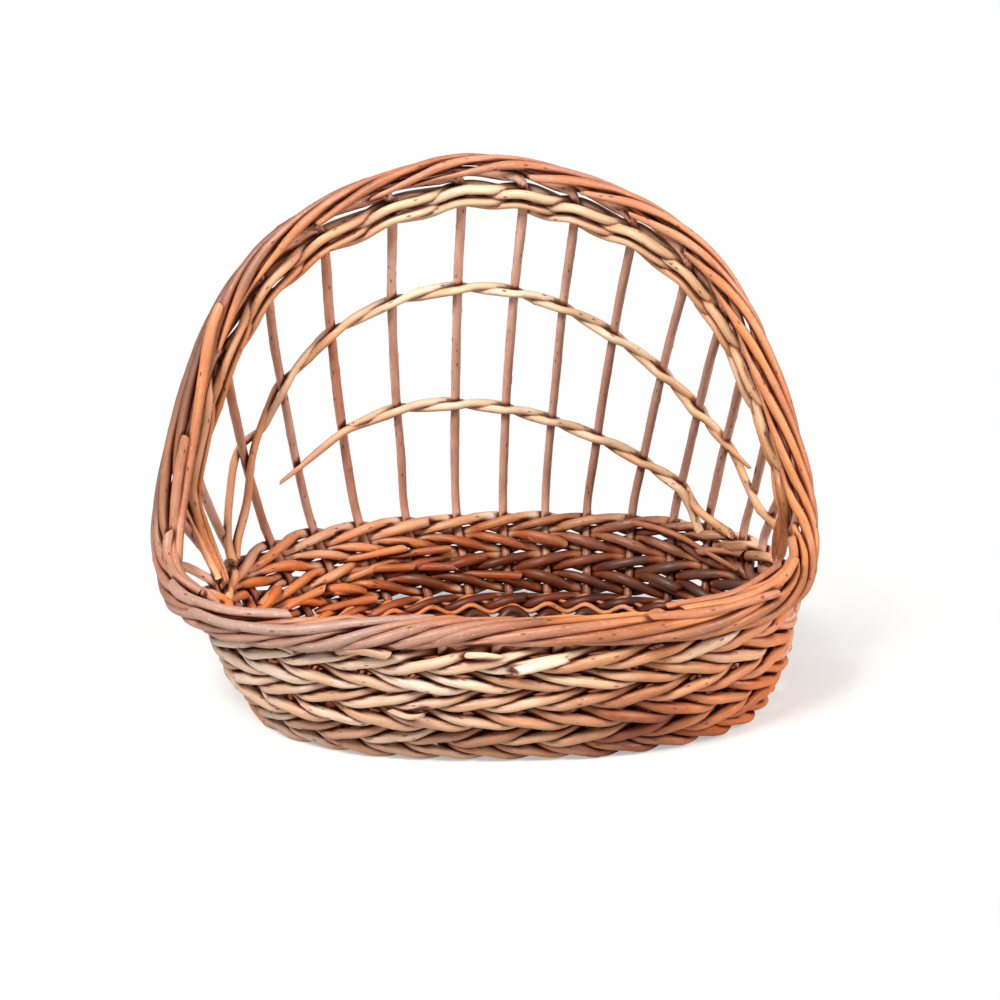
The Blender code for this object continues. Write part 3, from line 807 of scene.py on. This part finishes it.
STICKS = [(f"cross_stick_{n}", 1, 0.0036, 0.76) for n in (1, 2, 3, 4)]
STICKS += [(f"long_stick_{n}", 0, 0.0021, 1.0) for n in (1, 2)]
for number, (name, axis, radius, flat) in enumerate(STICKS):
    line = np.tile(stick_middle(name), (9, 1))
    line[:, axis] = np.linspace(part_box(name)[0][axis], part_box(name)[1][axis], 9)
    line[:, 2] = STICK_LEVEL
    rod(name + "_willow", line, radius, "base_willow", name, 700 + number,
        tone=0.5, blush=0.2, flat=flat, cuts=(0.0, 0.0))

ROUNDS = (BASE_DEPTH / 2 - EDGE_INSET - EYE_RADIUS) / BASE_PITCH
spiral = np.arange(0.0, ROUNDS, 1 / 360)
insets = EDGE_INSET + BASE_PITCH * spiral
across, back = superellipse(spiral * 2 * math.pi - math.pi / 2)
floor_line = np.stack(
    (BASE_SIDE_SHIFT + (BASE_LENGTH / 2 - insets) * across, (BASE_DEPTH / 2 - insets) * back,
     np.full(len(spiral), STICK_LEVEL)), -1)


def spoke_crossings(line):
    """Where the base rounds cross the sticks and the feet of the stakes, as places along them."""
    found = []
    for name, axis, _, _ in STICKS:
        side = line[:, 1 - axis] - stick_middle(name)[1 - axis]
        found += list(np.nonzero(side[:-1] * side[1:] < 0)[0])
    for k in range(STAKES):
        square = np.cross(inward(k), (0.0, 0.0, 1.0))
        off = (line - base_point(k)) @ square
        along = ((line - base_point(k)) @ inward(k))[:-1]
        crossed = (off[:-1] * off[1:] < 0) & (along > 0) & (along < STAKE_FOOT)
        found += list(np.nonzero(crossed)[0])
    kept = []
    for spot in sorted(found):
        if not kept or np.linalg.norm(line[spot] - line[kept[-1]]) > LEAST_BEAT:
            kept.append(spot)
    return np.array(kept)


crossings = spoke_crossings(floor_line)
beat = np.interp(np.arange(len(floor_line)), crossings, np.arange(len(crossings)))
floor_out = unit(np.cross(np.gradient(floor_line, axis=0), (0.0, 0.0, 1.0)))
for strand, sign in ((1, 1.0), (2, -1.0)):
    lift = sign * np.cos(math.pi * beat) * (STICK_HALF_HEIGHT + BASE_ROD_RADIUS)
    swing = sign * np.sin(math.pi * beat) * BASE_ROD_RADIUS * 0.55
    line = floor_line + floor_out * swing[:, None]
    line[:, 2] += lift
    cuts_at = [0] + [piece * len(line) // 5 + 35 * strand for piece in (1, 2, 3, 4)] + [len(line) - 1]
    for piece, (a, b) in enumerate(zip(cuts_at, cuts_at[1:]), 1):
        seed = 800 + 10 * strand + piece
        radii = np.linspace(1.06, 0.97, b + 1 - a) * BASE_ROD_RADIUS
        rod(f"base_weaver_{strand}_{piece}", line[a:b + 1], radii, "base_willow", "base_weave", seed,
            tone=0.58 + 0.12 * math.sin(seed), blush=0.30, sides=8, cuts=(0.4, 0.4))


# Hood rows and fitch rows

def lattice_frame(places, share):
    """At places and heights of the open stakes: the spot, outward, and up the stakes."""
    places, share = np.asarray(places, float), np.asarray(share, float)
    ahead, behind = places + 0.2, places - 0.2
    climb = lattice_point(places, share + 0.01) - lattice_point(places, share - 0.01)
    out = unit(np.cross(lattice_point(ahead, share) - lattice_point(behind, share), climb))
    return lattice_point(places, share), out, unit(climb)


def on_lattice(place, share, out):
    """A point on the open stakes, outside their middle, or inside it for less than nothing."""
    spot, outward, _ = lattice_frame(place, share)
    return spot + out * outward


def run_on(head, line, tail):
    """A woven line carried on at its two ends through loose points."""
    parts = [line]
    if head:
        parts.insert(0, curve_through([on_lattice(*spot) for spot in head] + [line[0]], 6)[:-1])
    if tail:
        parts.append(curve_through([line[-1]] + [on_lattice(*spot) for spot in tail], 6)[1:])
    return np.vstack(parts)


# seen from inside, hood rods climb to each stake that they cross and sink behind the next two
HOOD_RISE = (2.0, 1.35, 0.7, -0.2, -1.3, -0.95)
# the loose points of hood rods before their first stake and after their last, as places and heights
HOOD_HEADS = ((7.9, 0.1), (8.4, 0.4))
HOOD_TAILS = ((22.8, 0.3), (23.2, 0.05), (23.6, -0.2))
for row, drop in enumerate(HOOD_ROW_DROPS, 1):
    for number in (1, 2, 3):
        seed = 500 + 10 * row + number
        rng = np.random.default_rng(seed)
        places = np.arange(FIRST_HOOD_STAKE - 0.15 * number, LAST_HOOD_STAKE + 0.2 * number, 1 / 12)
        centre, _, down, out, down_stake = rim_frame(places)
        middle = centre + down_stake * (drop / (down_stake * down).sum(-1))[:, None]
        phase = -(places + number) % 3
        stray = [0.0008 * drift(seed + k, places - places[0], 1.2) for k in (20, 30)]
        across = cycle(WALE_ACROSS, phase) + cycle(TIGHT_ACROSS, phase)
        reach = across * (STAKE_RADIUS + HOOD_WEAVER_RADIUS + WALE_SLACK / 2) + stray[0]
        rise = cycle(HOOD_RISE, phase) * HOOD_WEAVER_RADIUS + stray[1]
        line = middle + out * reach[:, None] - down * rise[:, None]
        low = 0.5 - 0.2 * row
        head = [(place - 0.15 * number, share + low, -0.004) for place, share in HOOD_HEADS]
        tail = [(place + 0.15 * number, share + low, -0.005) for place, share in HOOD_TAILS]
        line = run_on(head, line, tail)
        run = np.linspace(0.0, 1.0, len(line))
        radius = HOOD_WEAVER_RADIUS * (1.08 - 0.16 * run) * rng.uniform(0.96, 1.08)
        left, right = (held(side * line[:, 0] / 0.14) for side in (-1, 1))
        warm = 0.06 + 0.65 * held(left * 1.6 - 0.4) + 0.12 * right + rng.uniform(-0.05, 0.12)
        foot = held(2.2 - line[:, 2] / LOW_HEIGHT)
        tone = 0.18 + (0.26 + 0.60 * foot) * right + rng.uniform(-0.12, 0.16)
        # a row's third rod stands for the second solid too
        solid = f"hood_row_{row}_rod_{min(number, 2)}"
        rod(f"hood_row_{row}_weaver_{number}", line, radius, "pale_willow", solid, seed,
            tone, np.clip(warm, 0, MOST_WARMTH), ash=0.10, cuts=(0.8, 0.8))


def fitch_rod(node_name, first, shares, side, start, end, head, tail, tips, seed):
    """One of the two rods twisted together and round the stakes in a fitch row, with its loose ends."""
    places = np.arange(start, end, 0.1)
    middle, out, up = lattice_frame(places, np.interp(places, range(first, first + len(shares)), shares))
    at_stake = np.exp(-((places - np.round(places)) / FITCH_HUG) ** 2)
    swing = side * np.cos(math.pi * places) * (0.8 * FITCH_RADIUS + (STAKE_RADIUS + 0.0006) * at_stake)
    # the rod in front rides up over the stake and the one behind slips down, so they lie in line
    rise = side * np.sin(math.pi * places) * FITCH_RADIUS * 0.8 - 0.42 * swing
    rise = rise + 0.0004 * drift(seed + 20, places - start, 1.5)
    line = run_on(head, middle + out * swing[:, None] + up * rise[:, None], tail)
    run = np.linspace(0.0, 1.0, len(line))
    thickness = (tips[0], 1.06, 1.02, 0.98, tips[1])
    radius = FITCH_RADIUS * np.interp(run, (0.0, 0.12, 0.5, 0.88, 1.0), thickness)
    left = held(-line[:, 0] / 0.1 - 0.4)
    tone = 0.14 + 0.07 * side + 0.42 * held(line[:, 0] / 0.12 - 0.2)
    rod(node_name + "_willow", line, radius, "pale_willow", node_name, seed,
        tone, blush=0.06 + 0.55 * left, ash=0.08, cuts=(0.8, 0.8))


# each fitch rod: its node, its first stake and heights, its side of that stake, where its twist starts
# and ends, its loose ends as places, heights and reaches outward, and how thick its ends are
FITCHES = (
    ("upper_fitch_rod_1", FIRST_HOOD_STAKE, UPPER_FITCH_SHARES, 1.0, 11.5, 20.55,
     [(10.1, 0.56, -0.004), (10.6, 0.54, -0.004), (11.1, 0.52, -0.002)],
     [(20.95, 0.49, -0.005), (21.35, 0.32, -0.006), (21.9, 0.17, -0.006), (22.4, 0.04, -0.006)],
     (0.45, 1.30)),
    ("upper_fitch_rod_2", FIRST_HOOD_STAKE, UPPER_FITCH_SHARES, -1.0, 11.4, 20.6,
     [(8.2, 0.50, -0.002), (8.8, 0.42, -0.003), (9.5, 0.37, -0.003), (10.2, 0.42, -0.002),
      (10.8, 0.49, 0.001)],
     [(21.0, 0.50, 0.005), (21.5, 0.35, 0.002), (22.1, 0.20, -0.003), (22.7, 0.02, -0.006)], (1.10, 1.25)),
    ("lower_fitch_rod_1", FIRST_LOWER_FITCH_STAKE, LOWER_FITCH_SHARES, 1.0, 12.0, 18.55,
     [(10.15, 0.03, -0.007), (10.7, 0.07, -0.007), (11.3, 0.12, -0.006)],
     [(18.9, 0.40, -0.004)], (1.25, 0.7)),
    ("lower_fitch_rod_2", FIRST_LOWER_FITCH_STAKE, LOWER_FITCH_SHARES, -1.0, 11.95, 18.7,
     [(10.95, -0.03, -0.008), (11.2, 0.03, -0.007), (11.5, 0.10, -0.004)],
     [(19.0, 0.395, -0.006), (19.6, 0.345, -0.005), (20.0, 0.32, -0.006), (20.5, 0.29, -0.005)],
     (1.25, 0.45)),
)
for number, spec in enumerate(FITCHES):
    fitch_rod(*spec, 625 + 10 * number)


# Ends, stubs and broken twigs

def on_border(place, turn, grown):
    """A point on the border's rope at a turn in degrees."""
    return border_point(place, math.radians(turn), grown)


def on_side(place, share, out):
    """A point on the side, outside its middle, or inside it for less than nothing."""
    return side_point(np.float64(place), share) - inward(place) * out


# a loose end: its radii, tone, warmth, greyness, and its way along the border or the side
BORDER_ENDS = (
    ((0.0033, 0.0027), 0.50, 0.35, 0.1,
     ((20.7, 176, 0.003), (21.05, 186, 0.0035), (21.85, 222, 0.003), (23.0, 250, 0.002), (24.4, 262, 0.001))),
    ((0.0030, 0.0027), 0.45, 0.15, 0.3,
     ((21.95, 203, 0.0038), (22.6, 212, 0.003), (23.6, 236, 0.002), (25.0, 252, 0.001), (26.3, 258, 0.0))),
    ((0.0031, 0.0027), 0.40, 0.10, 0.5,
     ((23.45, 218, 0.0045), (24.2, 222, 0.0035), (25.2, 236, 0.002), (26.2, 250, 0.001))),
    ((0.0031, 0.0028), 0.35, 0.0, 0.7,
     ((25.35, 208, 0.004), (26.1, 206, 0.003), (27.15, 206, 0.0015), (28.3, 222, 0.0))),
    ((0.0032, 0.0028), 0.32, 0.0, 0.8,
     ((26.45, 178, 0.004), (27.2, 168, 0.003), (28.4, 158, 0.0015), (29.8, 168, 0.001), (31.0, 188, 0.0))),
    ((0.0025, 0.0026), 0.45, 0.45, 0.1,
     ((4.2, 214, 0.001), (5.0, 212, 0.002), (6.1, 206, 0.003), (7.25, 216, 0.0045))),
    ((0.0026, 0.0027), 0.40, 0.55, 0.0,
     ((3.2, 186, 0.001), (4.2, 190, 0.002), (5.2, 196, 0.003), (6.0, 200, 0.0042))),
    ((0.0025, 0.0025), 0.55, 0.25, 0.2,
     ((3.0, 214, 0.0005), (4.2, 218, 0.002), (5.55, 228, 0.004))),
    ((0.0026, 0.0024), 0.50, 0.30, 0.1,
     ((2.6, 160, 0.001), (3.6, 170, 0.002), (4.85, 172, 0.0035))),
)
SIDE_ENDS = (
    ((0.0028, 0.0026), 0.45, 0.05, 0.5,
     ((29.0, 0.99, 0.009), (29.45, 1.03, 0.0105), (30.05, 1.00, 0.0125))),
    ((0.0026, 0.0024), 0.30, 0.05, 0.4,
     ((27.3, 0.96, 0.009), (27.8, 1.0, 0.0105), (28.2, 0.97, 0.012))),
    ((0.0028, 0.0027), 0.12, 0.05, 0.0,
     ((1.2, 0.93, 0.006), (0.75, 0.90, 0.010), (0.28, 0.87, 0.0125))),
    ((0.0022, 0.0011), 0.30, 0.0, 0.3,
     ((29.75, 0.50, 0.008), (30.1, 0.47, 0.012), (30.42, 0.51, 0.0145))),
    ((0.0020, 0.0010), 0.25, 0.1, 0.0,
     ((31.5, 0.99, 0.009), (31.8, 1.01, 0.012), (32.1, 1.0, 0.0135))),
    ((0.0026, 0.0027), 0.45, 0.55, 0.0,
     ((19.7, 0.70, 0.0), (19.0, 0.74, -0.007), (18.2, 0.78, -0.0105))),
    ((0.0024, 0.0027), 0.62, 0.35, 0.0,
     ((18.8, 0.68, 0.0), (18.1, 0.72, -0.007), (17.3, 0.75, -0.0105))),
    ((0.0026, 0.0028), 0.70, 0.35, 0.0,
     ((19.8, 0.60, 0.0), (19.1, 0.62, -0.007), (18.2, 0.62, -0.0105))),
    ((0.0024, 0.0028), 0.72, 0.30, 0.0,
     ((18.7, 0.58, 0.0), (18.0, 0.60, -0.007), (17.2, 0.60, -0.0105))),
    ((0.0024, 0.0026), 0.80, 0.20, 0.0,
     ((17.2, 0.50, 0.0), (16.5, 0.51, -0.007), (15.7, 0.51, -0.0105))),
    ((0.0026, 0.0029), 0.35, 0.60, 0.0,
     ((21.9, 0.44, 0.0), (21.2, 0.50, -0.007), (20.45, 0.55, -0.011))),
    ((0.0026, 0.0029), 0.66, 0.40, 0.0,
     ((20.8, 0.34, 0.0), (20.1, 0.38, -0.007), (19.35, 0.40, -0.011))),
    ((0.0021, 0.0015), 0.55, 0.15, 0.2,
     ((13.1, 0.97, -0.006), (12.3, 0.96, -0.0115), (11.5, 0.92, -0.013), (10.6, 0.84, -0.013),
      (9.3, 0.80, -0.012))),
    ((0.0024, 0.0027), 0.62, 0.10, 0.4,
     ((9.6, 0.90, -0.006), (10.2, 0.88, -0.0095), (11.0, 0.83, -0.0125))),
)
LOOSE_ENDS = [(on_border, "stake_willow") + end for end in BORDER_ENDS]
LOOSE_ENDS += [(on_side, "side_willow") + end for end in SIDE_ENDS]
for number, (surface, finish, ends, tone, warm, grey, way) in enumerate(LOOSE_ENDS, 1):
    line = curve_through([surface(*spot) for spot in way], 8)
    rod(f"loose_end_{number:02d}", line, np.linspace(*ends, len(line)), finish, None, 900 + number,
        tone, warm, grey, cuts=(0.9, 0.9))

# two thin rods lift over the foot of each back stake, above the base: how high and how far out they
# lie, and how far they drop from there at places before and after each stake
PEAK_STAKES = range(11, 22)
PEAKED_RODS = ((0.0262, -0.0080), (0.0222, -0.0105))
PEAKED_RADIUS = 0.0017
PEAK_DROPS = ((-0.5, 0.0058), (-0.1, 0.0006), (0.0, 0.0), (0.1, 0.0006))
for number, (level, out) in enumerate(PEAKED_RODS, 1):
    points = []
    for k in PEAK_STAKES:
        for beside, drop in PEAK_DROPS:
            spot = on_side(k + beside, level / WALL_HEIGHT, out)
            points.append(spot - np.array([0.0, 0.0, drop]))
    rod(f"peaked_rod_{number}", curve_through(points, 3), PEAKED_RADIUS, "side_willow", None, 960 + number,
        tone=0.50, blush=0.50, cuts=(0.8, 0.8), ease=1)


# All the rods are known, so each can be made with the painted shade of the crevices that its neighbours leave
# it.
tree = kdtree.KDTree(sum(len(gathered[3]) for gathered in RODS))
for number, point in enumerate(np.vstack([gathered[3] for gathered in RODS])):
    tree.insert(tuple(point), number)
tree.balance()
for gathered in RODS:
    make_rod(*gathered, tree)


# Studio

def panel(name, size, spot, aim, power, colour):
    """A soft square lamp at a spot, turned to a point."""
    lamp = bpy.data.lights.new(name, "AREA")
    lamp.shape = "SQUARE"
    lamp.size = size
    lamp.energy = power
    lamp.color = paint(colour)[:3]
    item = bpy.data.objects.new(name, lamp)
    bpy.context.scene.collection.objects.link(item)
    item.location = spot
    item.rotation_euler = (Vector(aim) - Vector(spot)).to_track_quat("-Z", "Y").to_euler()


def studio():
    """A pale floor that runs off into a white room, and soft lamps."""
    reach = 6.0
    corners = [(-reach, -reach, 0), (reach, -reach, 0), (reach, reach, 0), (-reach, reach, 0)]
    mesh = bpy.data.meshes.new("studio_floor")
    mesh.from_pydata(corners, [], [(0, 1, 2, 3)])
    material = bpy.data.materials.new("pale_floor")
    material.use_nodes = True
    tree = material.node_tree
    shader = tree.nodes["Principled BSDF"]
    shader.inputs["Base Color"].default_value = paint("#CCCCCC")
    shader.inputs["Roughness"].default_value = 0.9
    shader.inputs["Specular IOR Level"].default_value = 0.1
    # the paper goes over to plain white away from the basket, so its far edge doesn't show
    seen = node(tree, "ShaderNodeLightPath").outputs["Is Camera Ray"]
    glow = node(tree, "ShaderNodeMath", {"operation": "MULTIPLY"}, i0=seen, i1=0.42)
    shader.inputs["Emission Color"].default_value = paint("#FFFFFF")
    tree.links.new(glow.outputs[0], shader.inputs["Emission Strength"])
    spot = node(tree, "ShaderNodeTexCoord").outputs["Object"]
    away = node(tree, "ShaderNodeVectorMath", {"operation": "LENGTH"}, i0=spot).outputs["Value"]
    far = node(tree, "ShaderNodeMapRange", {"interpolation_type": "SMOOTHSTEP"},
               i0=away, i1=0.16, i2=0.36, i3=0.0, i4=1.0)
    far = node(tree, "ShaderNodeMath", {"operation": "MULTIPLY"}, i0=far, i1=seen)
    white = node(tree, "ShaderNodeEmission", Color="#FFFFFF", Strength=1.0)
    mixed = node(tree, "ShaderNodeMixShader", i0=far, i1=shader, i2=white)
    tree.links.new(mixed.outputs[0], tree.nodes["Material Output"].inputs["Surface"])
    mesh.materials.append(material)
    floor = bpy.data.objects.new("studio_floor", mesh)
    floor.location.z = -0.0003
    bpy.context.scene.collection.objects.link(floor)
    world = bpy.data.worlds.new("white_room")
    bpy.context.scene.world = world
    world.use_nodes = True
    tree = world.node_tree
    seen = node(tree, "ShaderNodeLightPath").outputs["Is Camera Ray"]
    strength = node(tree, "ShaderNodeMapRange", i0=seen, i1=0.0, i2=1.0, i3=0.20, i4=1.0)
    tree.nodes["Background"].inputs["Color"].default_value = paint("#FFFFFF")
    tree.links.new(strength.outputs[0], tree.nodes["Background"].inputs["Strength"])
    panel("key_lamp", 0.5, (-0.55, -1.0, 1.25), (0.0, 0.0, 0.1), 33.0, "#FFFCF8")
    panel("side_lamp", 0.5, (1.15, -0.6, 0.8), (0.0, 0.0, 0.1), 14.0, "#FFF6EE")
    bpy.context.scene.view_settings.view_transform = "Standard"


def camera():
    """The photograph's view."""
    lift, swing, roll = math.radians(16.41), math.radians(0.96), math.radians(-1.28)
    target = np.array([0.0019, 0.0, 0.1178])
    back = np.array([math.sin(swing) * math.cos(lift), -math.cos(swing) * math.cos(lift), math.sin(lift)])
    right = unit(np.cross(-back, (0.0, 0.0, 1.0)))
    up = np.cross(right, -back)
    across = math.cos(roll) * right + math.sin(roll) * up
    upright = math.cos(roll) * up - math.sin(roll) * right
    lens = bpy.data.cameras.new("photo_camera")
    lens.sensor_width = 36.0
    lens.lens = 36.0 * 1801.8 / 1000
    item = bpy.data.objects.new("photo_camera", lens)
    bpy.context.scene.collection.objects.link(item)
    spot = target + 1.0338 * back
    rows = [(across[k], upright[k], back[k], spot[k]) for k in range(3)]
    item.matrix_world = Matrix(rows + [(0.0, 0.0, 0.0, 1.0)])
    bpy.context.scene.camera = item


studio()
camera()
